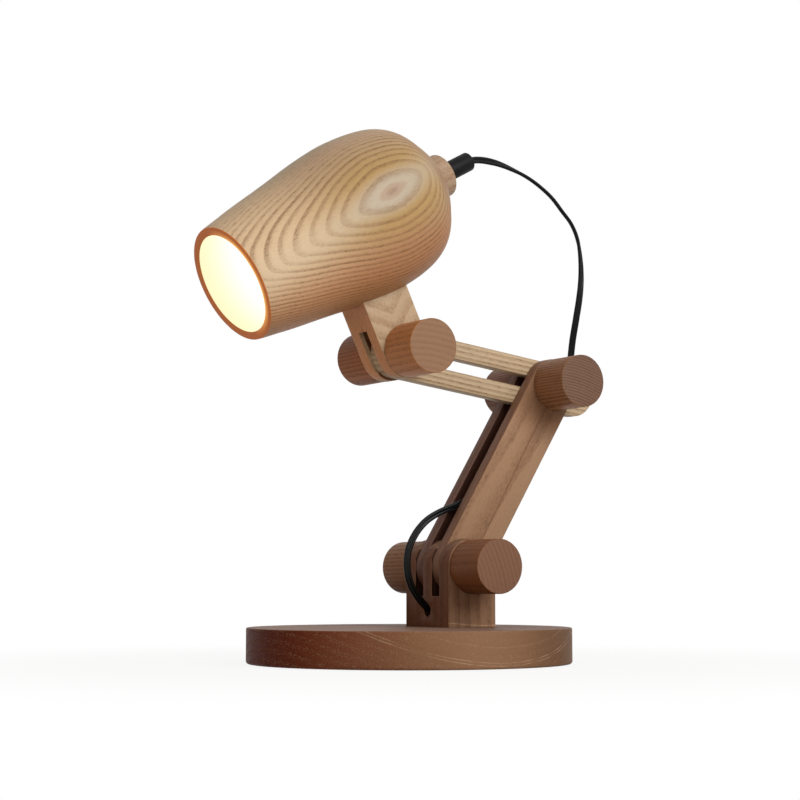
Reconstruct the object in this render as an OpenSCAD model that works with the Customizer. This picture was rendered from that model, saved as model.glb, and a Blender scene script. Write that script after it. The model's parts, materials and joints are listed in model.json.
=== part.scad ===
// Jointed wooden desk lamp: a turned cup shade on a slotted forearm and a double-plate lower arm.
// Millimetres. Origin at the centre of the base's underside, +Z up, the shade points towards -Y,
// and every pivot runs along X.

/* [Base] */
// Diameter of the base disc
base_d = 178; // [150:1:220]
// Height of the base, felt included
base_h = 20; // [18:0.5:30]
// Rounding of the base's lower edge
base_low_round = 1.6; // [0.8:0.1:3]
// Rounding of the base's upper edge
base_top_round = 0.8; // [0.4:0.1:2]
// Diameter of the felt under the base
felt_d = 150; // [120:1:165]
// Thickness of the felt
felt_t = 1.5; // [1:0.1:2.5]
// Depth of the felt's recess in the base
felt_recess = 1; // [0.5:0.1:1.4]

/* [Post] */
// Width of the post across its three prongs
post_w = 43; // [41:0.5:60]
// Depth of the post from front to back
post_depth = 31; // [30.5:0.5:40]
// Distance of the post's middle behind the base's centre
post_back = 27.2; // [10:0.1:40]
// Height of the lower pivot above the table
pivot_h = 53; // [50:0.5:80]
// Clear height between the lower pivot and the floor of the post's slots
post_slot_deep = 16; // [15.6:0.1:17.5]

/* [Arms] */
// Width of the lower arm's plates and of the head bracket
arm_w = 30; // [28:0.5:30]
// Thickness of every arm plate
plate_t = 8; // [7:0.1:8.5]
// Distance between the lower arm's two pivots
arm_len = 122.8; // [115:0.1:150]
// Backward lean of the lower arm from upright, in degrees
arm_lean = 31.6; // [25:0.1:36]
// Width of the forearm plate
fore_w = 27.6; // [25:0.1:29]
// Distance from the elbow pivot to the head pivot
fore_len = 101.2; // [100:0.1:120]
// Rise of the forearm towards the head, in degrees
fore_rise = 7.5; // [4:0.1:12]
// Length of forearm behind the elbow pivot, up to the centre of its round end
fore_tail = 20.2; // [18:0.1:23]
// Height of the forearm's slot
slot_h = 7.2; // [6.6:0.1:9]
// Distance from the head pivot back to the front end of the forearm's slot
slot_front = 25; // [20:0.5:35]
// Side clearance between plates that turn on each other
side_gap = 0.15; // [0.1:0.01:0.3]

/* [Knobs and bolts] */
// Diameter of the six knobs
knob_d = 29.6; // [26:0.1:30.4]
// Length of a knob
knob_len = 26.5; // [22:0.5:32]
// Bevel of a knob's edges
knob_bevel = 0.5; // [0.2:0.1:1.2]
// Diameter of the pivot bolts
bolt_d = 6; // [5:0.1:6.2]
// Radial clearance of a bolt in its bores
bolt_fit = 0.05; // [0.02:0.01:0.1]
// Width across the corners of a bolt's hexagon head
bolt_head_d = 11.5; // [10:0.1:13]
// Thickness of a bolt's head
bolt_head_t = 4; // [3:0.1:5]
// Outside diameter of the threaded insert in a clamping knob
insert_d = 10; // [8.5:0.1:12]
// Length of the threaded insert
insert_len = 15; // [10:0.5:18]

/* [Head] */
// Clear height between the head pivot and the floor of the bracket's slot
bracket_slot_deep = 18; // [16:0.1:20]
// Forward lean of the head bracket from upright, in degrees
bracket_lean = 25.3; // [22:0.1:29]
// Downward pitch of the shade's axis, in degrees
cup_pitch = 29.2; // [25:0.1:32]
// Distance from the head pivot up to the shade's axis
cup_above = 75.4; // [74:0.1:82]
// Distance from the shade's mouth back to the head pivot, along the shade's axis
cup_reach = 74.5; // [70:0.1:80]
// Length of the turned shade
cup_len = 139; // [132:0.5:150]
// Largest diameter of the shade
cup_d = 89.8; // [84:0.1:94]
// Wall of the shade
cup_wall = 4.6; // [3.5:0.1:6]
// Depth of the shade's hollow
cup_hollow = 127; // [118:0.5:128]

/* [Neck] */
// Diameter of the wooden neck collar
collar_d = 25; // [20:0.1:28]
// Length of the neck collar
collar_len = 13; // [8:0.5:18]
// Diameter of the black washer on the collar
washer_d = 21.4; // [13:0.1:24]
// Thickness of the washer
washer_t = 1.2; // [0.8:0.1:2]
// Diameter of the strain relief
relief_d = 11; // [10.6:0.1:13]
// Length of the strain relief
relief_len = 20; // [16:0.5:26]
// Outside diameter of the hollow threaded pipe through the neck
pipe_d = 9; // [8:0.1:9.4]
// Bore of the hollow pipe
pipe_bore = 6; // [5:0.1:6.6]

/* [Lamp holder and bulb] */
// Outside diameter of the lamp holder
holder_d = 36; // [33:0.5:38]
// Length of the lamp holder
holder_len = 44; // [38:0.5:46]
// Wall of the lamp holder
holder_wall = 3; // [2:0.1:3.4]
// Diameter of the bulb's screw cap
cap_d = 26; // [24:0.1:26.4]
// Length of the bulb's screw cap
cap_len = 24; // [20:0.5:26]
// Diameter of the bulb's glass
bulb_d = 45; // [40:0.5:48]
// Length of the whole bulb
bulb_len = 76; // [70:0.5:80]

/* [Cord] */
// Width of the flat cord
cord_w = 4; // [3:0.1:4.4]
// Thickness of the flat cord
cord_t = 2.1; // [2:0.1:2.8]
// Diameter of the cord's hole in the post and the base
cord_hole_d = 7; // [6.5:0.1:8]
// Height of the cord's hole in the post above the table
cord_hole_h = 29; // [28:0.1:31]

/* [Hidden] */

unit = 1;                 // one millimetre, the scale of the small fixed sizes below
over = 1 * unit;          // overrun of a cut past the face it opens
glue = 0.05 * unit;       // glue line between glued wooden pieces
knob_gap = side_gap;      // clearance under a knob
fine = 96;                // sides asked for on round parts

// Pivots, seen from the side as [y, z]
low_pivot = [post_back, pivot_h];
arm_dir = [sin(arm_lean), cos(arm_lean)];
elbow = low_pivot + arm_len * arm_dir;
fore_dir = [-cos(fore_rise), sin(fore_rise)];
head = elbow + fore_len * fore_dir;
cup_dir = [cos(cup_pitch), sin(cup_pitch)];
cup_up = [-sin(cup_pitch), cos(cup_pitch)];
mouth = head + cup_above * cup_up - cup_reach * cup_dir;

// Widths of the layers on a pivot
gap_half = plate_t / 2 + side_gap;
stack_half = gap_half + plate_t;
slot_w = plate_t + 2 * side_gap;
post_slot_in = plate_t / 2;
post_slot_out = post_slot_in + slot_w;
arm_r = arm_w / 2;
fore_r = fore_w / 2;
post_r = post_depth / 2;
bore_r = bolt_d / 2 + bolt_fit;
knob_r = knob_d / 2;

// Base: screws, wiring channel and grommet
base_floor = felt_t - felt_recess;
felt_top = felt_t;
screw_d = 4 * unit;
screw_head_d = 8 * unit;
screw_head_t = 2.6 * unit;
screw_up = 14 * unit;
screw_x_share = 0.33;
screw_x = post_w * screw_x_share;
screw_fit = 0.05 * unit;
channel_w = 6 * unit;
channel_top = 10 * unit;
grommet_d = 8 * unit;
grommet_bore = 5 * unit;
grommet_lip_d = 11 * unit;
grommet_lip_t = 1.5 * unit;
grommet_len = 12 * unit;
grommet_h = 8 * unit;
drop_y = post_back - 1.2 * unit;

// Knob: hexagon pocket, insert seat and bolt reach
pocket_fit = 0.1 * unit;
bolt_end = insert_len - 1 * unit;
bolt_room = insert_len + 4 * unit;

// Shade outline, from the mouth to the back: shares of its length and of its largest radius
cup_shares = [[0, 0.720], [0.08, 0.762], [0.16, 0.806], [0.32, 0.878], [0.475, 0.957], [0.60, 0.998],
    [0.68, 0.998], [0.76, 0.979], [0.83, 0.934], [0.885, 0.850], [0.93, 0.708], [0.965, 0.586],
    [0.985, 0.505], [1, 0.430]];
outline_steps = 3;

// Neck and lamp holder places along the shade's axis
collar_end = cup_len + glue + collar_len;
washer_end = collar_end + washer_t;
relief_end = washer_end + relief_len;
nut_d = 16 * unit;
nut_t = 3 * unit;
nut_play = 0.1 * unit;
pipe_fit = 0.1 * unit;
pipe_out = 8 * unit;
holder_back = cup_hollow - nut_t - 2 * nut_play;
holder_front = holder_back - holder_len;
holder_floor = 6 * unit;
holder_round = 3 * unit;
pipe_in = holder_floor / 2;
contact_d = 13 * unit;
contact_t = 2 * unit;
tip_d = 10 * unit;
tip_t = 2 * unit;
contact_play = 0.1 * unit;
cap_wall = 1 * unit;
cap_back = holder_back - holder_floor - contact_t - tip_t - contact_play;
glass_back = cap_back - cap_len;
glass_centre = cap_back + tip_t - bulb_len + bulb_d / 2;
glass_wall = 1 * unit;
glass_neck_r = cap_d / 2 - cap_wall - glue;
relief_play = 0.3 * unit;
relief_round = 1.6 * unit;

// Bracket screw, driven from inside the shade
b_screw_d = 4 * unit;
b_screw_head_d = 7.6 * unit;
b_screw_head_t = 2.4 * unit;
b_screw_len = 16 * unit;
bracket_dir = [-sin(bracket_lean), cos(bracket_lean)];

// Short cut above the bracket's slot, where the saw ran on at the front
kerf_w = 0.6 * unit;
kerf_h = 3.5 * unit;
kerf_in = 3 * unit;
kerf_side = 0.5 * unit;

// Places that the cord's route is measured from: [x, y, z] from a point seen from the side
relief_tip = mouth + relief_end * cup_dir;
function past_tip(along) = concat([0], relief_tip + along * cup_dir);
function by_tip(y, z) = [0, relief_tip[0] + y, relief_tip[1] + z];
function by_elbow(x, y, z) = [x, elbow[0] + y, elbow[1] + z];
function in_arm(across, along) = concat([0],
    low_pivot + along * arm_dir + across * [arm_dir[1], -arm_dir[0]]);
function by_post(y, z) = [0, post_back + y, cord_hole_h + z];
function in_base(y, z) = [0, y, z];

// Route of the cord from the lamp holder to the base, chosen by hand, one stretch for each piece of cord.
// A stretch ends at the first point of the next one.
cord_start = holder_back - holder_floor + 1 * unit - relief_end;
route_in_head = [past_tip(cord_start), past_tip(-40), past_tip(-30), past_tip(-20), past_tip(-10)];
route_head = [past_tip(-1), by_tip(4, 1.1), by_tip(9, 1.7), by_tip(15, 1.6), by_tip(22, 0.8),
    by_tip(31, -1.3), by_tip(41, -4.5), by_tip(50, -8.8), by_tip(59, -14.7)];
route_mid = [by_tip(66.5, -22), by_elbow(0, 22.5, 98), by_elbow(0, 27, 89), by_elbow(0, 29, 77.5),
    by_elbow(0, 29.2, 65.5), by_elbow(-0.5, 28.2, 54)];
route_elbow = [by_elbow(-2.5, 27, 41), by_elbow(-5, 26.5, 30), by_elbow(-6.6, 26.2, 20),
    by_elbow(-7, 25.3, 9), by_elbow(-7, 22.6, -2), by_elbow(-7, 18, -11.5), by_elbow(-6.2, 12.9, -19),
    by_elbow(-3.6, 7.4, -25.8), by_elbow(-0.8, 1.5, -32)];
route_arm = [in_arm(13.5, 87), in_arm(10.5, 78), in_arm(7, 69), in_arm(2.5, 60), in_arm(-2.5, 50.5)];
route_loop = [in_arm(-8, 41.5), in_arm(-13.8, 32.5), by_post(-6.5, 54.5), by_post(-14.7, 50.2),
    by_post(-20.6, 45), by_post(-24.7, 39.4), by_post(-27.2, 34), by_post(-28.4, 28.2),
    by_post(-28.3, 22.6), by_post(-27.2, 17.2), by_post(-24.8, 12), by_post(-21.5, 7.6),
    by_post(-17.8, 3.6), by_post(-14.2, 0.9)];
route_base = [by_post(-10, 0), by_post(-6, -0.6), by_post(-2.6, -3), by_post(-1.2, -8),
    by_post(-1.2, -14), in_base(27.5, 8), in_base(32, 4.4), in_base(40, 3.2), in_base(50, 3.2),
    in_base(60, 4.5), in_base(68, 6.5), in_base(73, 7.5)];
stretches = [route_in_head, route_head, route_mid, route_elbow, route_arm, route_loop, route_base];
route = [for (s = stretches) each s];
function start_of(n) = n == 0 ? 0 : start_of(n - 1) + len(stretches[n - 1]);
cord_sides = 8;

// Points between control points, on a Catmull-Rom curve
function blend(a, b, c, d, t) = 0.5 * ((2 * b) + (c - a) * t + (2 * a - 5 * b + 4 * c - d) * t * t
    + (3 * b - a - 3 * c + d) * t * t * t);
function smooth(p, n) = [for (i = [0 : len(p) - 2], k = [0 : n - 1])
    blend(p[max(i - 1, 0)], p[i], p[i + 1], p[min(i + 2, len(p) - 1)], k / n), p[len(p) - 1]];
cup_outline = smooth([for (s = cup_shares) [s[1] * cup_d / 2, s[0] * cup_len]], outline_steps);
hollow_outline = smooth([for (s = cup_shares)
    [s[1] * cup_d / 2 - cup_wall, s[0] * cup_hollow]], outline_steps);

// Frames of the assembly
module at_side(p) translate([0, p[0], p[1]]) children();
module along_x(from) translate([from, 0, 0]) rotate([0, 90, 0]) children();
module on_arm() at_side(low_pivot) rotate([-arm_lean, 0, 0]) children();
module on_forearm() at_side(elbow) rotate([90 - fore_rise, 0, 0]) children();
module on_bracket() at_side(head) rotate([bracket_lean, 0, 0]) children();
module on_cup(from = 0) at_side(mouth) rotate([cup_pitch - 90, 0, 0]) translate([0, 0, from]) children();

// Ring or rod about local Z
module tube(r_out, r_in, h) rotate_extrude($fn = fine) translate([r_in, 0]) square([r_out - r_in, h]);
module rod(r, h) cylinder(r = r, h = h, $fn = fine);

// Rod whose far end has a rounded edge
module round_ended(r, h, edge) rotate_extrude($fn = fine) {
    square([r, h - edge]);
    square([r - edge, h]);
    translate([r - edge, h - edge]) circle(r = edge, $fn = fine);
}

// Plate of thickness t across X, with round ends of radius r at local z = 0 and z = l
module plate(r, l, t) {
    translate([-t / 2, 0, 0]) rotate([90, 0, 90]) linear_extrude(t) {
        circle(r = r, $fn = fine);
        translate([0, l]) circle(r = r, $fn = fine);
        translate([-r, 0]) square([2 * r, l]);
    }
}

// Bore along X at the local origin, as long as a stack of half-width w
module bolt_bore(w) along_x(-w - over) rod(bore_r, 2 * (w + over));

// Base
module base_disc() color("saddlebrown") difference() {
    rotate_extrude($fn = fine) difference() {
        translate([0, base_floor]) square([base_d / 2, base_h - base_floor]);
        translate([base_d / 2 - base_low_round, base_floor + base_low_round]) corner_cut(base_low_round, -1);
        translate([base_d / 2 - base_top_round, base_h - base_top_round]) corner_cut(base_top_round, 1);
    }
    rod(felt_d / 2 + glue, felt_top + glue);
    at_side([drop_y, 0]) rod(cord_hole_d / 2, base_h + over);
    translate([-channel_w / 2, drop_y, 0]) cube([channel_w, base_d / 2 - grommet_len - drop_y, channel_top]);
    translate([0, base_d / 2 - grommet_len - glue, grommet_h]) rotate([-90, 0, 0])
        rod(grommet_d / 2 + glue, grommet_len + glue + over);
    for (x = [-screw_x, screw_x]) translate([x, post_back, 0]) {
        rod(screw_head_d / 2 + screw_fit, felt_top + glue + screw_head_t);
        rod(screw_d / 2 + screw_fit, base_h + over);
    }
}

// Waste outside a quarter round of radius r, above (side = 1) or below (side = -1) its centre
module corner_cut(r, side) difference() {
    translate([0, side > 0 ? 0 : -r - over]) square([r + over, r + over]);
    circle(r = r, $fn = fine);
}

module base_felt() color("dimgray") rod(felt_d / 2, felt_top);

module post() color("peru") difference() {
    translate([-post_w / 2, 0, 0]) rotate([90, 0, 90]) linear_extrude(post_w) {
        translate([post_back, pivot_h]) circle(r = post_r, $fn = fine);
        translate([post_back - post_r, base_h]) square([post_depth, pivot_h - base_h]);
    }
    for (side = [-1, 1]) translate([side * (post_slot_in + post_slot_out) / 2 - slot_w / 2,
        post_back - post_r - over, pivot_h - post_slot_deep])
            cube([slot_w, post_depth + 2 * over, pivot_h]);
    at_side(low_pivot) bolt_bore(post_w / 2);
    translate([0, drop_y, base_h - over]) rod(cord_hole_d / 2, cord_hole_h - base_h + over);
    translate([0, drop_y, cord_hole_h]) rotate([90, 0, 0]) rod(cord_hole_d / 2, post_depth);
    at_side([drop_y, cord_hole_h]) sphere(r = cord_hole_d / 2, $fn = fine);
    for (x = [-screw_x, screw_x]) translate([x, post_back, base_h - over])
        rod(screw_d / 2 + screw_fit, screw_up + over + screw_fit);
}

module post_screws() color("silver") for (x = [-screw_x, screw_x])
    translate([x, post_back, felt_top + glue]) {
        rod(screw_head_d / 2, screw_head_t);
        rod(screw_d / 2, base_h + screw_up - felt_top - glue);
    }

module inlet_grommet() color("black") translate([0, base_d / 2, grommet_h]) rotate([90, 0, 0]) {
    tube(grommet_d / 2, grommet_bore / 2, grommet_len);
    translate([0, 0, -grommet_lip_t]) tube(grommet_lip_d / 2, grommet_bore / 2, grommet_lip_t);
}

// A pivot's bolt, its fixed knob on the far side and its clamping knob on the near side.
// w is the half-width of the stack between the knobs.
module pivot_bolt(w) color("silver") {
    along_x(-w - knob_gap - bolt_head_t) cylinder(d = bolt_head_d, h = bolt_head_t, $fn = 6);
    along_x(-w - knob_gap - bolt_head_t / 2)
        rod(bolt_d / 2, bolt_head_t / 2 + 2 * (w + knob_gap) + bolt_end);
}

module knob_body() rotate_extrude($fn = fine) polygon([[0, 0], [knob_r - knob_bevel, 0],
    [knob_r, knob_bevel], [knob_r, knob_len - knob_bevel], [knob_r - knob_bevel, knob_len], [0, knob_len]]);

module fixed_knob(w) color("rosybrown") along_x(-w - knob_gap - knob_len) difference() {
    knob_body();
    translate([0, 0, knob_len - bolt_head_t - pocket_fit])
        cylinder(d = bolt_head_d + 2 * pocket_fit, h = bolt_head_t + pocket_fit + over, $fn = 6);
}

module clamp_knob(w) color("rosybrown") along_x(w + knob_gap) difference() {
    knob_body();
    translate([0, 0, -over]) rod(insert_d / 2 + glue, insert_len + over);
    rod(bore_r + pocket_fit, bolt_room);
}

module clamp_insert(w) color("goldenrod") along_x(w + knob_gap)
    tube(insert_d / 2, bore_r, insert_len - glue);

module lower_bolt() at_side(low_pivot) pivot_bolt(post_w / 2);
module lower_knob_fixed() at_side(low_pivot) fixed_knob(post_w / 2);
module lower_knob() at_side(low_pivot) clamp_knob(post_w / 2);
module lower_knob_insert() at_side(low_pivot) clamp_insert(post_w / 2);
module elbow_bolt() at_side(elbow) pivot_bolt(stack_half);
module elbow_knob_fixed() at_side(elbow) fixed_knob(stack_half);
module elbow_knob() at_side(elbow) clamp_knob(stack_half);
module elbow_knob_insert() at_side(elbow) clamp_insert(stack_half);
module head_bolt() at_side(head) pivot_bolt(stack_half);
module head_knob_fixed() at_side(head) fixed_knob(stack_half);
module head_knob() at_side(head) clamp_knob(stack_half);
module head_knob_insert() at_side(head) clamp_insert(stack_half);

// Lower arm: two plates with a gap for the forearm and the cord
module arm_plate(side) color("tan") on_arm() difference() {
    translate([side * (gap_half + plate_t / 2), 0, 0]) plate(arm_r, arm_len, plate_t);
    bolt_bore(stack_half);
    translate([0, 0, arm_len]) bolt_bore(stack_half);
}
module arm_plate_near() arm_plate(1);
module arm_plate_far() arm_plate(-1);

// Forearm: one plate with a long slot that slides on the elbow bolt
module forearm() color("burlywood") on_forearm() difference() {
    translate([0, 0, -fore_tail]) plate(fore_r, fore_tail + fore_len, plate_t);
    translate([0, 0, -fore_tail]) plate(slot_h / 2, fore_tail + fore_len - slot_front, plate_t + 2 * over);
    translate([0, 0, fore_len]) bolt_bore(plate_t / 2);
}

// Solid outer form of the shade, grown by g all round
module cup_solid(g = 0) rotate_extrude($fn = fine) polygon(concat([[0, -g]],
    [for (p = cup_outline) [p[0] + g, p[1] * (cup_len + 2 * g) / cup_len - g]], [[0, cup_len + g]]));

module head_bracket() color("burlywood") difference() {
    on_bracket() difference() {
        plate(arm_r, cup_above - cup_d / 2 + arm_r / 2, 2 * stack_half);
        translate([-gap_half, -arm_r - over, -arm_w]) cube([2 * gap_half, arm_w + 2 * over,
            arm_w + bracket_slot_deep]);
        translate([kerf_side, -arm_r - over, bracket_slot_deep - over])
            cube([kerf_w, kerf_in + over, kerf_h + over]);
        bolt_bore(stack_half);
    }
    on_cup() cup_solid(glue);
    screw_line() rod(b_screw_d / 2 + screw_fit, cup_d);
}

// Line of the bracket screw: from the shade's axis towards the head pivot, starting at its head
screw_start = cup_above / cos(cup_pitch - bracket_lean) - cup_d / 2 + cup_wall + b_screw_head_t;
module screw_line() at_side(head + screw_start * bracket_dir) rotate([180 + bracket_lean, 0, 0]) children();

module bracket_screw() color("silver") screw_line() {
    rod(b_screw_head_d / 2, b_screw_head_t - screw_fit);
    rod(b_screw_d / 2, b_screw_len + b_screw_head_t);
}

module shade() color("navajowhite") difference() {
    on_cup() difference() {
        cup_solid();
        rotate_extrude($fn = fine) polygon(concat([[0, -over], [hollow_outline[0][0], -over]],
            hollow_outline, [[0, cup_hollow]]));
        translate([0, 0, cup_hollow - over]) rod(pipe_d / 2 + pipe_fit, cup_len);
    }
    screw_line() translate([0, 0, b_screw_head_t - over]) rod(b_screw_d / 2 + screw_fit, cup_wall * 3);
    screw_line() rod(b_screw_head_d / 2 + screw_fit, b_screw_head_t);
}

module neck_collar() color("tan") on_cup(cup_len + glue)
    tube(collar_d / 2, pipe_d / 2 + pipe_fit, collar_len - glue);
module neck_washer() color("black") on_cup(collar_end)
    tube(washer_d / 2, pipe_d / 2 + pipe_fit, washer_t - glue);
module neck_pipe() color("silver") on_cup(holder_back - pipe_in)
    tube(pipe_d / 2, pipe_bore / 2, washer_end + pipe_out - holder_back + pipe_in);
module pipe_nut() color("silver") on_cup(cup_hollow - nut_play - nut_t) difference() {
    cylinder(d = nut_d, h = nut_t, $fn = 6);
    translate([0, 0, -over]) rod(pipe_d / 2 + pipe_fit, nut_t + 2 * over);
}

module strain_relief() color("black") on_cup(washer_end) difference() {
    round_ended(relief_d / 2, relief_len, relief_round);
    translate([0, 0, -over]) rod(cord_w / 2 + relief_play, relief_len + 2 * over);
    translate([0, 0, -over]) rod(pipe_d / 2 + glue, pipe_out + glue + over);
}

// Ceramic holder, open towards the shade's mouth
module lamp_holder() color("whitesmoke") on_cup(holder_front) difference() {
    round_ended(holder_d / 2, holder_len, holder_round);
    translate([0, 0, -over]) rod(holder_d / 2 - holder_wall, holder_len - holder_floor + over);
    rod(pipe_d / 2 + pipe_fit, holder_len + over);
}
module holder_contact() color("gold") on_cup(holder_back - holder_floor - contact_t)
    rod(contact_d / 2, contact_t - glue);

// Bulb: a screw cap closed at its end, the contact on it and a thin glass
module bulb_cap() color("silver") on_cup(glass_back) difference() {
    rod(cap_d / 2, cap_len);
    translate([0, 0, -over]) rod(cap_d / 2 - cap_wall, cap_len - cap_wall + over);
}
module bulb_contact() color("dimgray") on_cup(cap_back) rod(tip_d / 2, tip_t);
module bulb_shape(inset) {
    translate([0, glass_centre]) circle(r = bulb_d / 2 - inset, $fn = fine);
    translate([0, glass_centre])
        square([glass_neck_r - inset, glass_back + cap_len / 2 - glass_centre + inset]);
}
module bulb_glass() color("lightyellow") on_cup() rotate_extrude($fn = fine) intersection() {
    difference() {
        bulb_shape(0);
        bulb_shape(glass_wall);
    }
    square([bulb_d, cup_len]);
}

// Flat cord swept along a route, its width across the plane that it bends in
function unit_of(v) = v / norm(v);
function heading(p, i) = unit_of(p[min(i + 1, len(p) - 1)] - p[max(i - 1, 0)]);
function ring(c, d) = let (across = unit_of([1, 0, 0] - d[0] * d), up = cross(d, across))
    [for (k = [0 : cord_sides - 1]) let (a = 360 * (k + 0.5) / cord_sides)
        c + across * cos(a) * cord_w / 2 + up * sin(a) * cord_t / 2];
module cord_stretch(stretch) {
    first = start_of(stretch);
    last = min(start_of(stretch + 1), len(route) - 1);
    n = last - first;
    m = cord_sides;
    points = [for (i = [first : last]) each ring(route[i], heading(route, i))];
    sides = [for (i = [0 : n - 1], k = [0 : m - 1]) each [
        [i * m + k, i * m + (k + 1) % m, (i + 1) * m + k],
        [i * m + (k + 1) % m, (i + 1) * m + (k + 1) % m, (i + 1) * m + k]]];
    color("black") polyhedron(points, concat([[for (k = [m - 1 : -1 : 0]) k]], sides,
        [[for (k = [0 : m - 1]) n * m + k]]));
}
module cord_in_head() cord_stretch(0);
module cord_head() cord_stretch(1);
module cord_mid() cord_stretch(2);
module cord_elbow() cord_stretch(3);
module cord_arm() cord_stretch(4);
module cord_loop() cord_stretch(5);
module cord_base() cord_stretch(6);

base_disc();
base_felt();
post();
post_screws();
inlet_grommet();
lower_bolt();
lower_knob_fixed();
lower_knob();
lower_knob_insert();
arm_plate_near();
arm_plate_far();
elbow_bolt();
elbow_knob_fixed();
elbow_knob();
elbow_knob_insert();
forearm();
head_bolt();
head_knob_fixed();
head_knob();
head_knob_insert();
head_bracket();
bracket_screw();
shade();
neck_collar();
neck_washer();
neck_pipe();
pipe_nut();
strain_relief();
lamp_holder();
holder_contact();
bulb_cap();
bulb_contact();
bulb_glass();
cord_in_head();
cord_head();
cord_mid();
cord_elbow();
cord_arm();
cord_loop();
cord_base();
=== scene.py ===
# %% [markdown]
# # A jointed wooden desk lamp
# The lamp is a turned ash shade on wooden links, which round knobs clamp, with a flat black cord behind.
# It could be modelled by eye from nothing. Here its solids, bodies and joints are packed already, so this
# script loads them and makes each piece look like wood, cord or glass without changing a size. Lengths
# are in metres, and small ones are written as a number times MM. Only patterns are counted in mm.

# %% Load the solids
import json
import math

import bmesh
import bpy
from mathutils import Matrix, Vector


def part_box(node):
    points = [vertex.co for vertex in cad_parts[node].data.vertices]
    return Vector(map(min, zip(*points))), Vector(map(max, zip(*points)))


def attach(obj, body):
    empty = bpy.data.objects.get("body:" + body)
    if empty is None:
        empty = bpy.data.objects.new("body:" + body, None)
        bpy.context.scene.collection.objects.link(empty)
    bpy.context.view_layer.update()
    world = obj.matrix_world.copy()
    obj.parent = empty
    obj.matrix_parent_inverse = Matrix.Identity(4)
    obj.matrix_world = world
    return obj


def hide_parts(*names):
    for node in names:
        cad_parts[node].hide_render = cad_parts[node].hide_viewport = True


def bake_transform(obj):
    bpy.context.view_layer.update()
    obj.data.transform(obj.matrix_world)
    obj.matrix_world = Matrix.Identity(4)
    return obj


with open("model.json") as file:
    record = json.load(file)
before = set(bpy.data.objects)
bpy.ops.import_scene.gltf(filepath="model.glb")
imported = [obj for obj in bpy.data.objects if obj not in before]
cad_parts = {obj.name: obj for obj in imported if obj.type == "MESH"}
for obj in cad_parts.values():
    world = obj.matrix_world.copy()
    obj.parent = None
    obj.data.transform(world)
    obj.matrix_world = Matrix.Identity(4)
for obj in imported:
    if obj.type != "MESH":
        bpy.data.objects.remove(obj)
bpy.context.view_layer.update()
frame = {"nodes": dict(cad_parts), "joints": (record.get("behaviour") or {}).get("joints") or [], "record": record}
scene = bpy.context.scene
MM = 0.001

# %% [markdown]
# ## Where things are
# Every dressed piece has to sit on its solid. Its place could be typed in, but a pivot that is read from
# the joints can't drift away from them. The lamp lies in the plane X = 0. Only the shade has an axis of
# its own, so the directions along it and over it are worked out here.

# %% Pivots and directions
pivots = {j["name"]: Vector(j["pos_m"]) for j in frame["joints"] if "pos_m" in j}
low_pivot, elbow, head = (pivots[n] for n in ("lower_pivot", "elbow_pivot", "head_pivot"))
UP = Vector((0, 0, 1))
SIDE = Vector((1, 0, 0))
FRONT = Vector((0, -1, 0))
arm_dir = (elbow - low_pivot).normalized()
fore_dir = (head - elbow).normalized()
arm_front = SIDE.cross(arm_dir)
print("arm leans", round(math.degrees(arm_dir.angle(UP)), 1), "degrees")

# %% Axis of the shade
CUP_PITCH = 29.2
CUP_ABOVE, CUP_REACH = 75.4 * MM, 74.5 * MM
CUP_LEN, CUP_R, CUP_WALL, CUP_HOLLOW = 139 * MM, 44.9 * MM, 4.6 * MM, 127 * MM
COLLAR_LEN, WASHER_T, RELIEF_LEN = 13 * MM, 1.2 * MM, 20 * MM


def leaning(way, towards, degrees):
    """Direction that leans from one way towards another, which is square to it."""
    return math.cos(math.radians(degrees)) * way + math.sin(math.radians(degrees)) * towards


cup_dir = leaning(-FRONT, UP, CUP_PITCH)
cup_up = SIDE.cross(cup_dir)
mouth = head + CUP_ABOVE * cup_up - CUP_REACH * cup_dir
relief_end = CUP_LEN + COLLAR_LEN + WASHER_T + RELIEF_LEN
relief_tip = mouth + relief_end * cup_dir
print("mouth of the shade at", [round(v / MM, 1) for v in mouth], "mm")

# %% [markdown]
# ## Camera
# A desk lamp is mostly seen from the height of the table. The camera could be aimed by hand in the
# viewport, but a place and a line of sight in numbers give the same picture each time. The long lens
# keeps the base round and the links straight.

# %% Camera
CAMERA_AT = Vector((0.86576, -0.54832, 0.04313))
LINE_OF_SIGHT = Vector((-0.84323, 0.52836, 0.09899))


def put_in_scene(name, data):
    thing = bpy.data.objects.new(name, data)
    scene.collection.objects.link(thing)
    return thing


camera_data = bpy.data.cameras.new("camera")
camera_data.lens = 83.6
camera_data.sensor_width = 36
camera_data.clip_start = 0.01
camera = put_in_scene("camera", camera_data)
camera.location = CAMERA_AT
camera.rotation_euler = LINE_OF_SIGHT.to_track_quat("-Z", "Y").to_euler()
scene.camera = camera
print("camera at", [round(v, 3) for v in camera.location])

# %% [markdown]
# ## Cord
# The cord is a flat twin flex. It leaves the shade's strain relief, hangs behind the elbow, slips between
# the two arm plates, makes a loop in front of the post and ends in the base. A curve with a bevel could
# draw it, but a curve is awkward to turn flat side to narrow side. So the route is a list of points, each
# counted from the piece that it passes, and a mesh tube follows it. A stretch that crosses a joint is a
# piece of its own, between the two bodies beside it.

# %% Points counted from the pieces
CORD_W, CORD_T = 4 * MM, 2.1 * MM
HOLE_H = 29 * MM


def past_tip(along):
    return relief_tip + along * MM * cup_dir


def by_tip(y, z):
    return relief_tip + MM * Vector((0, y, z))


def by_elbow(x, y, z):
    return elbow + MM * Vector((x, y, z))


def in_arm(across, along):
    return low_pivot + MM * (along * arm_dir - across * arm_front)


def by_post(y, z):
    return Vector((0, low_pivot.y + y * MM, HOLE_H + z * MM))


def in_base(y, z):
    return MM * Vector((0, y, z))


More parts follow.
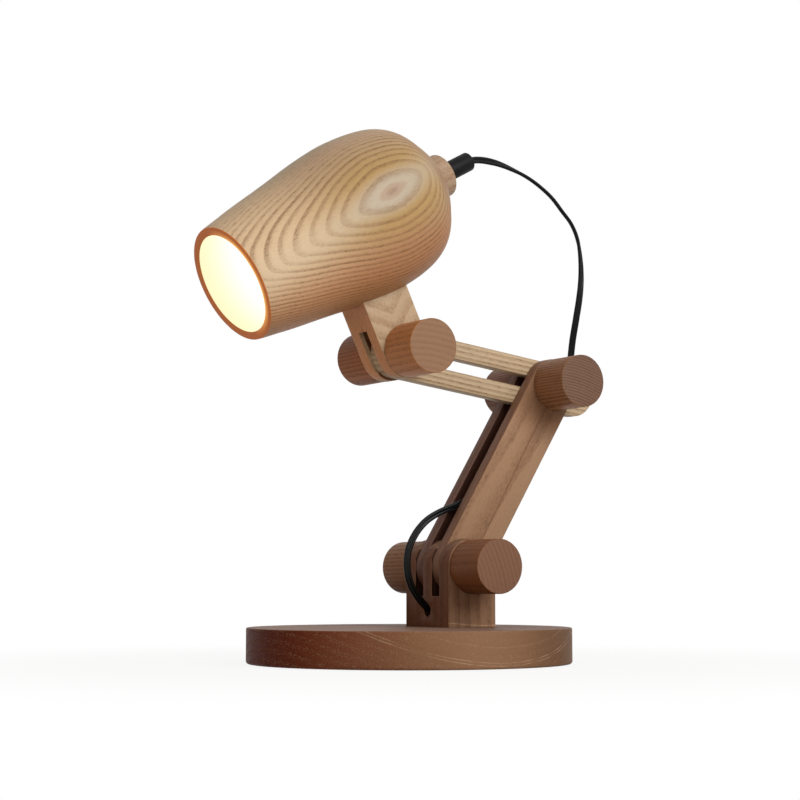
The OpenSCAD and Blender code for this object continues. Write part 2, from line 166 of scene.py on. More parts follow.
print("cord leaves the shade at", [round(v / MM, 1) for v in relief_tip], "mm")

# %% Route of the cord
route = {
    "cord_in_head": [past_tip(along) for along in (-54.45, -40, -30, -20, -10)],
    "cord_head": [past_tip(-1)] + [by_tip(*p) for p in ((4, 1.1), (9, 1.7), (15, 1.6), (22, 0.8),
        (31, -1.3), (41, -4.5), (50, -8.8), (59, -14.7))],
    "cord_mid": [by_tip(66.5, -22)] + [by_elbow(*p) for p in ((0, 22.5, 98), (0, 27, 89),
        (0, 29, 77.5), (0, 29.2, 65.5), (-0.5, 28.2, 54))],
    "cord_elbow": [by_elbow(*p) for p in ((-2.5, 27, 41), (-5, 26.5, 30), (-6.6, 26.2, 20),
        (-7, 25.3, 9), (-7, 22.6, -2), (-7, 18, -11.5), (-6.2, 12.9, -19), (-3.6, 7.4, -25.8),
        (-0.8, 1.5, -32))],
    "cord_arm": [in_arm(*p) for p in ((13.5, 87), (10.5, 78), (7, 69), (2.5, 60), (-2.5, 50.5))],
    "cord_loop": [in_arm(-8, 41.5), in_arm(-13.8, 32.5)] + [by_post(*p) for p in ((-6.5, 54.5),
        (-14.7, 50.2), (-20.6, 45), (-24.7, 39.4), (-27.2, 34), (-28.4, 28.2), (-28.3, 22.6),
        (-27.2, 17.2), (-24.8, 12), (-21.5, 7.6), (-17.8, 3.6), (-14.2, 0.9))],
    "cord_base": [by_post(*p) for p in ((-10, 0), (-6, -0.6), (-2.6, -3), (-1.2, -8), (-1.2, -14))]
        + [in_base(*p) for p in ((27.5, 8), (32, 4.4), (40, 3.2), (50, 3.2), (60, 4.5), (68, 6.5),
        (73, 7.5))],
}
whole_route = [p for stretch in route.values() for p in stretch]
print("route of", len(whole_route), "points")

# %% [markdown]
# A flexible cord has no corners, so the line between the points has to be smooth. A Bezier curve needs
# handles at each point. A Catmull-Rom curve passes through the points themselves and takes its direction
# from the points on both sides, so it needs none.

# %% Smooth line through points
STEPS = 6  # places on the line from one point to the next


def between(a, b, c, d, t):
    """Catmull-Rom place from b to c."""
    return 0.5 * (2 * b + (c - a) * t + (2 * a - 5 * b + 4 * c - d) * t**2
        + (3 * b - a - 3 * c + d) * t**3)


def smooth_line(points):
    ends = len(points) - 1
    line = []
    for i in range(ends):
        a, b, c, d = (points[min(max(k, 0), ends)] for k in (i - 1, i, i + 1, i + 2))
        line += [between(a, b, c, d, step / STEPS) for step in range(STEPS)]
    return line + [points[-1]]


cord_line = smooth_line(whole_route)
print("line of", len(cord_line), "places")

# %% [markdown]
# A flat twin flex is two round cores side by side in one sheath, so its section has a shallow groove on
# both faces. It also twists as it hangs: it shows its narrow edge in one place and its flat face in the
# next. The twist is written at marked points of the route and read in between.

# %% Section and twist of the flex
# Place on the route, counted in route points, and degrees that the flex has turned there.
TWISTS = [(0, 97), (7.5, 97), (10.5, 25), (16, 32), (19.5, 118), (23, 118), (28, 58), (34, 60),
    (39, 115), (48, 122), (54, 180), (61, 180)]
CORE_POINTS, CORE_ARC = 12, math.radians(270)


def twist_at(place):
    for (a, low), (b, high) in zip(TWISTS, TWISTS[1:]):
        if place <= b:
            return low + (high - low) * (place - a) / (b - a)
    return TWISTS[-1][1]


def flex_section(centre, heading, twist):
    level = (SIDE - SIDE.dot(heading) * heading).normalized()
    across = Matrix.Rotation(math.radians(twist), 3, heading) @ level
    over = heading.cross(across)
    core = CORD_T / 2
    ring = []
    for side in (1, -1):
        for k in range(CORE_POINTS + 1):
            a = (side - 1) * math.pi / 2 + CORE_ARC * (k / CORE_POINTS - 0.5)
            away = side * (CORD_W / 2 - core) + core * math.cos(a)
            ring.append(centre + across * away + over * core * math.sin(a))
    return ring


ahead, behind = cord_line[1:] + cord_line[-1:], cord_line[:1] + cord_line[:-1]
headings = [(a - b).normalized() for a, b in zip(ahead, behind)]
sections = [flex_section(centre, heading, twist_at(i / STEPS))
    for i, (centre, heading) in enumerate(zip(cord_line, headings))]
print("sections of", len(sections[0]), "points")

# %% [markdown]
# The sections become a tube when each one is joined to the next by four-sided faces. Skinning tools do
# this too, but here the faces are listed in code, so that none is missing or doubled. Every mesh made
# here goes through the same finishing: doubles merged, faces turned outwards, real edges kept sharp.

# %% Mesh of a tube, and the finishing of any mesh
WELD, SHARP = 0.0001 * MM, math.radians(35)


def finished(name, mesh):
    """Object at the origin whose place is in its mesh, with its faces turned outwards."""
    work = bmesh.new()
    work.from_mesh(mesh)
    bmesh.ops.remove_doubles(work, verts=work.verts, dist=WELD)
    bmesh.ops.recalc_face_normals(work, faces=work.faces)
    work.to_mesh(mesh)
    work.free()
    mesh.polygons.foreach_set("use_smooth", [True] * len(mesh.polygons))
    mesh.set_sharp_from_angle(angle=SHARP)
    return put_in_scene(name, mesh)


def tube(name, rings):
    count = len(rings[0])
    faces = [tuple(reversed(range(count)))]
    for i in range(len(rings) - 1):
        for k in range(count):
            n = (k + 1) % count
            faces.append((i * count + k, i * count + n, (i + 1) * count + n, (i + 1) * count + k))
    faces.append(tuple(range((len(rings) - 1) * count, len(rings) * count)))
    mesh = bpy.data.meshes.new(name)
    mesh.from_pydata([p for ring in rings for p in ring], [], faces)
    return finished(name, mesh)


# %% Stretches of the cord
cords, paths = {}, {}
first = 0
for name, points in route.items():
    last = min(first + len(points) * STEPS, len(cord_line) - 1)
    cords[name] = tube(name + "_flex", sections[first : last + 1])
    paths[name] = cord_line[first : last + 1]
    first = last
    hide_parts(name)
print(len(cords), "stretches")

# %% [markdown]
# The stretches inside the shade, the arm and the base simply ride with them. The four free ones hang
# between two bodies, which the table names. Here each one's real length is worked out, and its place is
# put into its mesh.

# %% What the cord moves with
hanging = {
    "cord_head": ("head", "forearm_plate"),
    "cord_mid": ("forearm_plate", "elbow_clamp"),
    "cord_elbow": ("elbow_clamp", "lower_arm"),
    "cord_loop": ("lower_arm", "base"),
}
for name, (near, far) in hanging.items():
    path = paths[name]
    length = sum((b - a).length for a, b in zip(path, path[1:]))
    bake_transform(cords[name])
    print(name, "is", round(length / MM), "mm long")
for name, body in (("cord_in_head", "head"), ("cord_arm", "lower_arm"), ("cord_base", "base")):
    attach(cords[name], body)

# %% [markdown]
# ## Colour and nodes
# A finish is a small tree of nodes. It could be wired by hand in the Shader Editor. In code it needs one
# function that adds a node with its settings and links, and one that turns the hex code of a colour, as a
# picture editor shows it, into the linear values that the renderer works with.

# %% One function for colours, one for nodes
def linear(hex_code):
    """Linear colour of an sRGB hex code."""
    parts = [int(hex_code[i : i + 2], 16) / 255 for i in (1, 3, 5)]
    return [p / 12.92 if p <= 0.04045 else ((p + 0.055) / 1.055) ** 2.4 for p in parts] + [1]


def feed(tree, node, feeds):
    """Give a node's inputs values or links, by name or in order."""
    for socket, value in feeds.items() if isinstance(feeds, dict) else enumerate(feeds):
        if isinstance(value, bpy.types.NodeSocket):
            tree.links.new(value, node.inputs[socket])
        else:
            node.inputs[socket].default_value = value


def add(tree, kind, feeds=(), out=0, **settings):
    """Add a node with its settings and feeds, and return the output that is wanted. The kind is Blender's
    name for it, where ShaderNode may be left off."""
    made = tree.nodes.new(kind if "Node" in kind else "ShaderNode" + kind)
    for setting, value in settings.items():
        setattr(made, setting, value)
    feed(tree, made, feeds)
    return made.outputs[out] if len(made.outputs) else made


def bare_finish(name):
    """A new material with a surface shader on its output."""
    material = bpy.data.materials.new(name)
    material.use_nodes = True
    tree = material.node_tree
    tree.nodes.clear()
    surface = add(tree, "BsdfPrincipled")
    add(tree, "OutputMaterial", [surface])
    return material, tree, surface.node


print("mid grey is", round(linear("#808080")[0], 3), "in linear light")

# %% [markdown]
# ## Mottled finishes
# Moulded plastic, plated metal, glaze and felt have one colour, but none is perfectly even: colour and
# gloss change a little from place to place. An image could carry that, but it has to be wrapped on. Noise
# that is solid in space, with a grain of a real size, shows no seam.

# %% Mottled finish
NOISE = (0.3, 0.7)  # nearly all of a noise lies between these
SOFTLY = {"interpolation_type": "SMOOTHSTEP"}
GLOSS_VARIES = (-0.05, 0.08)  # roughness, less and more
SPECK_DEEP = 0.05 * MM


def mottled(name, hex_code, rough, grain_size, depth, metallic=0.0, shine=0.5):
    """One colour that is darker by depth in spots of grain_size mm, and a little less even in gloss."""
    material, tree, surface = bare_finish(name)
    at = add(tree, "Mapping", {"Vector": add(tree, "TexCoord", out="Object"),
        "Scale": (1 / MM / grain_size,) * 3})
    speck = add(tree, "TexNoise", {"Vector": at, "Scale": 1.0, "Detail": 3.0, "Roughness": 0.6})
    lit = add(tree, "MapRange", [speck, *NOISE], **SOFTLY)
    darker = [part * (1 - depth) for part in linear(hex_code)[:3]] + [1]
    tone = add(tree, "Mix", {0: lit, 6: darker, 7: linear(hex_code)}, out=2, data_type="RGBA")
    gloss = add(tree, "MapRange", [speck, *NOISE, *(rough + change for change in GLOSS_VARIES)])
    bump = add(tree, "Bump", {"Strength": 0.15, "Distance": SPECK_DEEP, "Height": speck})
    feed(tree, surface, {"Base Color": tone, "Roughness": gloss, "Normal": bump, "Metallic": metallic,
        "Specular IOR Level": shine})
    return material


def paint(piece, *materials):
    piece.data.materials.clear()
    for material in materials:
        piece.data.materials.append(material)


# PVC, extruded: almost black, and smooth enough for a soft grey line of light along its length.
cord_sheath = mottled("PVC cord sheath, extruded", "#060606", 0.32, grain_size=2.0, depth=0.1,
    shine=0.12)
for piece in cords.values():
    paint(piece, cord_sheath)
print("cord in", cord_sheath.name)

# %% [markdown]
# ## Wood
# Wood is solid all through: the rings on a board's face are the rings of the trunk, cut open. A picture
# of wood wrapped on a turned shade would stretch and meet itself at a seam. So this pattern is solid too:
# a set of tubes round the trunk's middle line, the pith, which lies beside the piece. Where a round piece
# cuts them they make an eye and nested arches, and where a board cuts them they make long lines. The
# first step turns the object's own place into a place on the plank: x across it, y out towards the bark,
# z along the grain, in millimetres from a chosen spot on the piece.

# %% Places on a piece, and flecks along the grain
def on_the_plank(tree, spot, along, outwards):
    z = along.normalized()
    y = (outwards - outwards.dot(z) * z).normalized()
    turn = Matrix((y.cross(z), y, z))
    return add(tree, "Mapping", {"Vector": add(tree, "TexCoord", out="Object"),
        "Location": -(turn @ spot) / MM, "Rotation": turn.to_euler("XYZ"), "Scale": (1 / MM,) * 3})


def mm_from(tree, spot, direction):
    """How far a place lies from the spot along a direction, in mm."""
    place = add(tree, "TexCoord", out="Object")
    reach = add(tree, "VectorMath", [place, direction / MM], out="Value", operation="DOT_PRODUCT")
    return add(tree, "Math", [reach, direction.dot(spot) / MM], operation="SUBTRACT")


def flecks(tree, at, wide, long, detail=2.0, rough=0.5):
    """Soft flecks from 0 to 1, about wide mm across the grain and long mm along it."""
    stretch = (1 / wide, 1 / wide, 1 / long)
    stretched = add(tree, "VectorMath", [at, stretch], operation="MULTIPLY")
    return add(tree, "TexNoise", {"Vector": stretched, "Scale": 1.0, "Detail": detail,
        "Roughness": rough})


# %% [markdown]
# In a year's ring of ash, the spring wood is full of open pores and looks dark, and the summer wood is
# dense and pale. The distance from the pith, divided by the ring's width, gives a saw-tooth from 0 to 1
# in each ring, and a ramp turns that into dark and pale. No trunk is perfectly round, so slow noise bends
# the rings, and each has a strength of its own.

# %% Distance from the pith
# A slow and a quick bend of the rings: mm wide, mm long, detail, and how many mm it moves them.
BENDS = ((62, 200, 1.0, 9), (11, 50, 2.0, 1.1))


def bent_radius(tree, at, pith, wave, crease, fold):
    """Distance from the pith in mm, bent as a real trunk is, and the slow bend alone. A crease folds the
    rings along the spot's line, fold mm wide, which makes pointed arches."""
    away = add(tree, "VectorMath", [at, (1, 1, 0), (0, pith, 0)], operation="MULTIPLY_ADD")
    radius = add(tree, "VectorMath", [away], out="Value", operation="LENGTH")
    bends = []
    for wide, long, detail, reach in BENDS:
        noise = flecks(tree, at, wide, long, detail)
        bends.append(add(tree, "Math", [noise, reach * wave, -reach * wave / 2],
            operation="MULTIPLY_ADD"))
        radius = add(tree, "Math", [radius, bends[-1]], operation="ADD")
    if crease:
        away = add(tree, "VectorMath", [at, (1, 0, 0), (0, fold, 0)], operation="MULTIPLY_ADD")
        folded = add(tree, "VectorMath", [away], out="Value", operation="LENGTH")
        drop = add(tree, "Math", [folded, -crease, fold * crease], operation="MULTIPLY_ADD")
        radius = add(tree, "Math", [radius, drop], operation="ADD")
    return radius, bends[0]


print("rings wander by up to", sum(reach for *_, reach in BENDS) / 2, "mm to each side, times wave")

# %% Growth rings
DARK_LINES = [(0.0, 0.75), (0.07, 1.0), (0.26, 0.8), (0.62, 0.12), (0.93, 0.0), (1.0, 0.75)]
PORE_LINES = [(0.0, 0.6), (0.06, 1.0), (0.26, 0.85), (0.44, 0.2), (0.6, 0.0), (0.95, 0.0), (1.0, 0.6)]
WEAKEST, STRONGEST = 0.6, 1.05  # strength of one ring and another
FAINT_PATCH = (20, 83)  # mm wide and long, where rings are fainter
FAINT_SHARE = (0.65, 1.05)  # share of their strength in such a patch and outside it
ABOVE_ZERO = 50.0  # rings, added so that no count is negative
WIDENED = 4.0  # mm under the spot in which the outermost ring is drawn wider


def growth_rings(tree, at, under, ring, profile, first):
    """Dark part of each ring from 0 to 1, and the ring's own strength. first is how many mm the outermost
    ring is wider than the rest."""
    if first:
        wider = add(tree, "MapRange", [under, 0.0, WIDENED, 0.0, first], **SOFTLY)
        under = add(tree, "Math", [under, wider], operation="SUBTRACT")
    count = add(tree, "Math", [under, -1 / ring, ABOVE_ZERO], operation="MULTIPLY_ADD")
    ramp = add(tree, "ValToRGB", [add(tree, "Math", [count], operation="FRACT")])
    marks = ramp.node.color_ramp
    marks.interpolation = "EASE"
    while len(marks.elements) < len(profile):
        marks.elements.new(0.5)
    for mark, (place, dark) in zip(marks.elements, profile):
        mark.position = place
        mark.color = (dark, dark, dark, 1)
    whole = add(tree, "Math", [count], operation="FLOOR")
    own = add(tree, "TexWhiteNoise", {"W": whole}, noise_dimensions="1D")
    strength = add(tree, "Math", [own, STRONGEST - WEAKEST, WEAKEST], operation="MULTIPLY_ADD")
    patchy = add(tree, "MapRange", [flecks(tree, at, *FAINT_PATCH), *NOISE, *FAINT_SHARE])
    return ramp, add(tree, "Math", [strength, patchy], operation="MULTIPLY")


print("the first", DARK_LINES[3][0], "of each ring is its dark part")

# %% [markdown]
# The rings alone would look printed. Three things make them wood. Pores are short dark dashes that lie
# thick in the spring wood. Fibres are hair-fine streaks all along the grain. And the ground under them
# changes tone: with the depth in the trunk, where stain has soaked in, and where the saw has cut across
# the fibres, which take more stain and go darker. On some pieces the same layers carry painted shade and
# painted light, set by a face's place or direction.

# %% Tones of the ground under the rings
# The edge of a stain below is also the edge of painted shade and painted light on some pieces.
EDGE_WAVE = 4.0  # times the slow bend, by which the edge of a stain wanders
ARC_BREAK = (9, 30)  # mm wide and long, where an arc is worn away
WORN_EDGE, WORN_LEFT = (0.4, 0.6), 0.1  # the noise from worn to whole, and the share left where worn
END_GRAIN, SIDE_FACE = 0.95, (0.5, 0.9)  # how squarely a face has to look at a direction


def facing(tree, direction, begins, full):
    """From 0 to 1 as a face turns towards a direction."""
    looks_at = add(tree, "TexCoord", out="Normal")
    turned_to = add(tree, "VectorMath", [looks_at, direction], out="Value", operation="DOT_PRODUCT")
    return add(tree, "MapRange", [turned_to, begins, full], **SOFTLY)


def ground_tones(tree, at, under, beside, slow, spot, along, tones, heart=None, end=None, stains=(),
        streaks=(), arcs=(), hollow=None, faces=()):
    """Layers of tone below the dark rings, as (share, colour). tones and arcs are by mm under the spot,
    heart by mm beside its line, end and faces by the way that a face looks, and stains, painted light,
    streaks and hollow by mm from the spot. faces, hollow and some stains are painted shade and light."""
    layers = [(add(tree, "MapRange", [under, start, stop], **SOFTLY), tone)
        for (start, _), (stop, tone) in zip(tones, tones[1:])]
    if heart:
        *reach, tone = heart
        layers.append((add(tree, "MapRange", [beside, *reach, 0.0]), tone))
    if end:
        tone, begins = end
        layers += [(facing(tree, way, begins, END_GRAIN), tone) for way in (along, -along)]
    for direction, start, stop, tone, strength in stains:
        reach = add(tree, "Math", [slow, EDGE_WAVE, mm_from(tree, spot, direction)],
            operation="MULTIPLY_ADD")
        share = add(tree, "MapRange", [reach, start, stop, 0.0, strength], **SOFTLY)
        layers.append((share, tone))
    for direction, middle, half, tone, strength in streaks:
        reach = add(tree, "Math", [slow, mm_from(tree, spot, direction)], operation="ADD")
        within = add(tree, "Math", [reach, middle, half], operation="COMPARE")
        layers.append((add(tree, "Math", [within, strength], operation="MULTIPLY"), tone))
    for middle, half, tone, strength in arcs:
        within = add(tree, "Math", [under, middle, half], operation="COMPARE")
        worn = add(tree, "MapRange", [flecks(tree, at, *ARC_BREAK), *WORN_EDGE, WORN_LEFT, strength])
        layers.append((add(tree, "Math", [within, worn], operation="MULTIPLY"), tone))
    if hollow:
        share = 1.0
        for direction, middle, half in hollow[0]:
            within = add(tree, "Math", [mm_from(tree, spot, direction), middle, half],
                operation="COMPARE")
            share = add(tree, "Math", [within, share], operation="MULTIPLY")
        layers.append((share, hollow[1]))
    return layers + [(facing(tree, direction, *SIDE_FACE), tone) for direction, tone in faces]


print("end grain is full within", round(math.degrees(math.acos(END_GRAIN))), "degrees of the grain")

# %% Fibres, sheen and relief
FIBRE = (0.31, 20)  # mm wide and long: real fibres are ten times finer, and would not show
FIBRE_TONE = (0.93, 1.05)  # how many times the colour
PATCH, PATCH_TONE = (50, 167), (0.9, 1.08)  # the same for slow changes in tone
SATIN = 0.46  # roughness between the pores
RING_ROUGH, PORE_ROUGH = 0.08, 0.25  # roughness that a dark ring and a pore add to it
PORE_DEEP, FIBRE_HIGH, RING_DEEP = 0.15 * MM, 0.25, 0.25  # the last two as shares of a pore's depth


def fibred(tree, surface, at, base, rings, pits):
    """Fibres over the base colour. Dark rings and pores are rougher and lie lower."""
    fibre = flecks(tree, at, *FIBRE, rough=0.7)
    hair = add(tree, "MapRange", [fibre, 0.25, 0.75, *FIBRE_TONE])
    patch = add(tree, "MapRange", [flecks(tree, at, *PATCH, 1.0), *NOISE, *PATCH_TONE])
    uneven = add(tree, "Math", [hair, patch], operation="MULTIPLY")
    tinted = add(tree, "VectorMath", {0: base, "Scale": uneven}, operation="SCALE")
    rough = add(tree, "Math", [rings, RING_ROUGH, SATIN], operation="MULTIPLY_ADD")
    rough = add(tree, "Math", [pits, PORE_ROUGH, rough], operation="MULTIPLY_ADD")
    height = add(tree, "Math", [fibre, FIBRE_HIGH], operation="MULTIPLY")
    height = add(tree, "Math", [rings, -RING_DEEP, height], operation="MULTIPLY_ADD")
    height = add(tree, "Math", [height, pits], operation="SUBTRACT")
    bump = add(tree, "Bump", {"Strength": 0.35, "Distance": PORE_DEEP, "Height": height})
    feed(tree, surface, {"Base Color": tinted, "Roughness": rough, "Normal": bump})


print("fibres are drawn", FIBRE[0], "mm wide and", FIBRE[1], "mm long")

# %% The whole of a wood finish
PORE_SIZE = (0.42, 3.1)  # mm wide and long: twice as wide as real pores, so that they show
PORE_EDGE = (0.5, 0.64)  # the noise at which a pore begins, and is one in full
IN_SUMMER = 0.25  # share of the pores that the summer wood has


def grained_wood(name, spot, along, outwards, dark, pore, tones, pith=70, ring=3.0, band=0.5, wave=0.6,
        pores=0.5, pore_size=PORE_SIZE, profile=DARK_LINES, first=0.0, crease=0.0, fold=3.0, calm=None,
        soft=None, shine=0.2, **ground):
    """Wood whose rings are ring mm wide, about a pith that runs along, pith mm behind the spot. band and
    pores are how strong the rings and pores are. calm, by mm to one side of the spot's line, and soft, by
    mm to both sides, are where the rings fade: (from, to, strength before, strength after)."""
    material, tree, surface = bare_finish(name)
    at = on_the_plank(tree, spot, along, outwards)
    radius, slow = bent_radius(tree, at, pith, wave, crease, fold)
    under = add(tree, "Math", [pith, radius], operation="SUBTRACT")
    rings, strength = growth_rings(tree, at, under, ring, profile, first)
    side = add(tree, "SeparateXYZ", [at], out="X")
    beside = add(tree, "Math", [side], operation="ABSOLUTE")
    fades = [add(tree, "MapRange", [reach, *fade])
        for reach, fade in ((side, calm), (beside, soft)) if fade]
    bands = add(tree, "Math", [rings, band], operation="MULTIPLY")
    for share in [strength] + fades:
        bands = add(tree, "Math", [bands, share], operation="MULTIPLY")
    dashes = flecks(tree, at, *pore_size, rough=0.6)
    pits = add(tree, "MapRange", [dashes, *PORE_EDGE, 0.0, pores], **SOFTLY)
    by_season = add(tree, "Math", [rings, 1 - IN_SUMMER, IN_SUMMER], operation="MULTIPLY_ADD")
    for share in [by_season] + fades[-1:]:
        pits = add(tree, "Math", [pits, share], operation="MULTIPLY")
    layers = ground_tones(tree, at, under, beside, slow, spot, along, tones, **ground)
    base = linear(tones[0][1])
    for share, tone in layers + [(bands, dark), (pits, pore)]:
        base = add(tree, "Mix", {0: share, 6: base, 7: linear(tone)}, out=2, data_type="RGBA")
    fibred(tree, surface, at, base, rings, pits)
    feed(tree, surface, {"Specular IOR Level": shine})
    print(name, "has", len(tree.nodes), "nodes")
    return material


# %% [markdown]
# ## Lathe
# The shade, the neck and the six knobs are turned: a blank spins, and the tool leaves the same outline
# all round. The Spin tool or a Screw modifier would do this too. Here it is one Geometry Nodes tree that
# all the turned pieces share, because their shape follows one rule. The outline comes in as a row of
# points, radius in X and length in Z. A grid gets one column of points for each step round, each point
# looks up its own place in the outline, and the column is turned about Z. Then the seam is welded shut.

# %% The tree that turns an outline
lathe = bpy.data.node_groups.new("turned on the lathe", "GeometryNodeTree")
dials = {}
for label, kind in (("Outline", "Geometry"), ("Steps round", "Int"), ("Weld distance", "Float"),
        ("Finish", "Material")):
    socket = lathe.interface.new_socket(label, in_out="INPUT", socket_type="NodeSocket" + kind)
    dials[label] = socket.identifier
lathe.interface.new_socket("Turned piece", in_out="OUTPUT", socket_type="NodeSocketGeometry")
given = add(lathe, "NodeGroupInput").node.outputs
rows = add(lathe, "GeometryNodeAttributeDomainSize", [given["Outline"]], component="MESH")
columns = add(lathe, "Math", [given["Steps round"], 1.0], operation="ADD")
sheet = add(lathe, "GeometryNodeMeshGrid", {"Vertices X": columns, "Vertices Y": rows})
number = add(lathe, "GeometryNodeInputIndex")
row = add(lathe, "FunctionNodeIntegerMath", [number, rows], operation="MODULO")
column = add(lathe, "FunctionNodeIntegerMath", [number, rows], operation="DIVIDE_FLOOR")
own_place = add(lathe, "GeometryNodeSampleIndex", {"Geometry": given["Outline"],
    "Value": add(lathe, "GeometryNodeInputPosition"), "Index": row}, data_type="FLOAT_VECTOR")
step_angle = add(lathe, "Math", [2 * math.pi, given["Steps round"]], operation="DIVIDE")
angle = add(lathe, "Math", [column, step_angle], operation="MULTIPLY")
spun = add(lathe, "VectorRotate", {"Vector": own_place, "Angle": angle}, rotation_type="Z_AXIS")
wrapped = add(lathe, "GeometryNodeSetPosition", {"Geometry": sheet, "Position": spun})
welded = add(lathe, "GeometryNodeMergeByDistance", {"Geometry": wrapped,
    "Distance": given["Weld distance"]})
plain_mesh = add(lathe, "GeometryNodeRealizeInstances", [welded])
coated = add(lathe, "GeometryNodeSetMaterial", {"Geometry": plain_mesh, "Material": given["Finish"]})
add(lathe, "NodeGroupOutput", [coated])
print("lathe of", len(lathe.nodes), "nodes")


# %% Turning a piece
def axis_frame(origin, direction):
    """Matrix that puts local Z along a direction, from a point."""
    return Matrix.Translation(origin) @ direction.to_track_quat("Z", "Y").to_matrix().to_4x4()


def turned(name, outline, place, finish, steps=128, ring_shaped=False):
    """Turn an outline of (radius, length) points. A ring-shaped piece has an outline that closes."""
    points = [(radius, 0, length) for radius, length in outline]
    blank = bpy.data.meshes.new(name)
    blank.from_pydata(points + points[:1] if ring_shaped else points, [], [])
    piece = put_in_scene(name, blank)
    spin = piece.modifiers.new("lathe", "NODES")
    spin.node_group = lathe
    for label, value in (("Steps round", steps), ("Weld distance", WELD), ("Finish", finish)):
        spin[dials[label]] = value
    made = piece.evaluated_get(bpy.context.evaluated_depsgraph_get())
    mesh = bpy.data.meshes.new_from_object(made)
    bpy.data.objects.remove(piece)
    mesh.transform(place)
    piece = finished(name, mesh)
    paint(piece, finish)
    return piece


# %% [markdown]
# A turner breaks every sharp edge with sandpaper, and the light catches on that small round. A Bevel
# modifier could add it afterwards, but on a turned piece it is only an arc in the outline.

# %% Outlines with eased edges
EASE_STEPS = 6


def arc(centre, radius, start, stop):
    """Points (radius, length) round a corner, from one angle in degrees to another."""
    turns = [math.radians(start + (stop - start) * k / EASE_STEPS) for k in range(EASE_STEPS + 1)]
    return [(centre[0] + radius * math.cos(a), centre[1] + radius * math.sin(a)) for a in turns]


def eased_rod(radius, length, ease):
    return ([(0, 0)] + arc((radius - ease, ease), ease, -90, 0)
        + arc((radius - ease, length - ease), ease, 0, 90) + [(0, length)])


def eased_tube(outer, inner, length, ease):
    return [(inner, 0)] + eased_rod(outer, length, ease)[1:-1] + [(inner, length)]


print("rod outline of", len(eased_rod(1, 1, 0.1)), "points")

# %% [markdown]
# ## Shade
# The shade is one block of ash, turned to a cup with a domed back and hollowed to a thin wall. Its
# outline is a row of shares of the largest radius, the same that the solid has, smoothed by the cord's
# curve. The hollow follows the same shares a wall's thickness further in.

# %% Outline of the shade
# Share of the length from the mouth, and share of the largest radius.
CUP_SHARES = [(0, 0.720), (0.08, 0.762), (0.16, 0.806), (0.32, 0.878), (0.475, 0.957), (0.60, 0.998),
    (0.68, 0.998), (0.76, 0.979), (0.83, 0.934), (0.885, 0.850), (0.93, 0.708), (0.965, 0.586),
    (0.985, 0.505), (1, 0.430)]
RIM_EASE, PIPE_HOLE = 0.8 * MM, 4.6 * MM
cup_axis = axis_frame(mouth, cup_dir)
outside = smooth_line([Vector((share * CUP_R, along * CUP_LEN)) for along, share in CUP_SHARES])
inside = smooth_line([Vector((share * CUP_R - CUP_WALL, along * CUP_HOLLOW))
    for along, share in CUP_SHARES])
rim = (arc((inside[0].x + RIM_EASE, RIM_EASE), RIM_EASE, 180, 270)
    + arc((outside[0].x - RIM_EASE, RIM_EASE), RIM_EASE, 270, 360))
cup_outline = ([(PIPE_HOLE, CUP_HOLLOW)] + [tuple(p) for p in reversed(inside[2:])] + rim
    + [tuple(p) for p in outside[2:]] + [(PIPE_HOLE, CUP_LEN)])
print("shade outline of", len(cup_outline), "points")

# %% [markdown]
# The grain is what the eye goes to. The block was cut so that the side of the shade just touches the
# outermost rings: there they close into an eye, and round it they nest in pointed arches that run towards
# the mouth. Image textures can't be cut open like this, but the solid pattern can: the spot is put on the
# eye, the pith 90 mm behind it, and the crease gives the arches their points. Above the eye the lines
# fade.

# %% Ash of the shade
EYE_ANGLE, EYE_STATION, EYE_TURN = 11.3, 91 * MM, 6
eye_out = leaning(SIDE, cup_up, EYE_ANGLE)
eye_spot = mouth + EYE_STATION * cup_dir + CUP_R * eye_out
eye_along = leaning(cup_dir, leaning(cup_up, -SIDE, EYE_ANGLE), EYE_TURN)
eye_grain = dict(spot=eye_spot, along=eye_along, outwards=eye_out, pith=90, ring=1.67, wave=0.3)

# Ash, turned and oiled: dark porous lines on pale straw-brown wood, satin, with no reflections to see.
turned_ash = grained_wood("ash, turned and oiled", **eye_grain, dark="#7C5A3A", pore="#5E4228", band=0.74,
    profile=PORE_LINES, crease=0.2, calm=(24, 36, 1.0, 0.2), first=0.6, soft=(3, 13, 0.45, 1.0),
    pore_size=(0.6, 3.2), heart=(2, 13, 0.6, "#ADA18C"), end=("#8B643D", 0.3),
    tones=[(0.14, "#946A50"), (0.5, "#A89B86"), (3, "#A78A5A"), (12, "#A88F6E"), (17, "#AA9073"),
        (28, "#9F8D6C")],
    # Painted light: paler towards the mouth, for the glow round the lit mouth. Painted shade: darker orange
    # towards the underside.
    stains=[(-cup_dir, 15, 88, "#DCC39F", 0.62), (-cup_up, 12, 40, "#B27444", 0.7)])
shade = turned("turned_shade", cup_outline, cup_axis, turned_ash, steps=160, ring_shaped=True)
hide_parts("shade")
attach(shade, "head")
print("shade of", len(shade.data.polygons), "faces")

# %% [markdown]
# The lamp is on. The hollow, near the bulb, looks white, and pale yellow only at its edge, and the cut
# rim glows orange, like light that comes through the thin wood there. A brighter bulb would white out
# everything round it. So the bulb stays modest, and both glows are painted light: the wood of the hollow
# and of the rim gives light off itself.

# %% Wood lit by the bulb
YELLOW_EDGE = 34  # mm into the hollow
NEAR_ARC = 22  # mm towards the near side, over which the rim's inner edge turns yellow

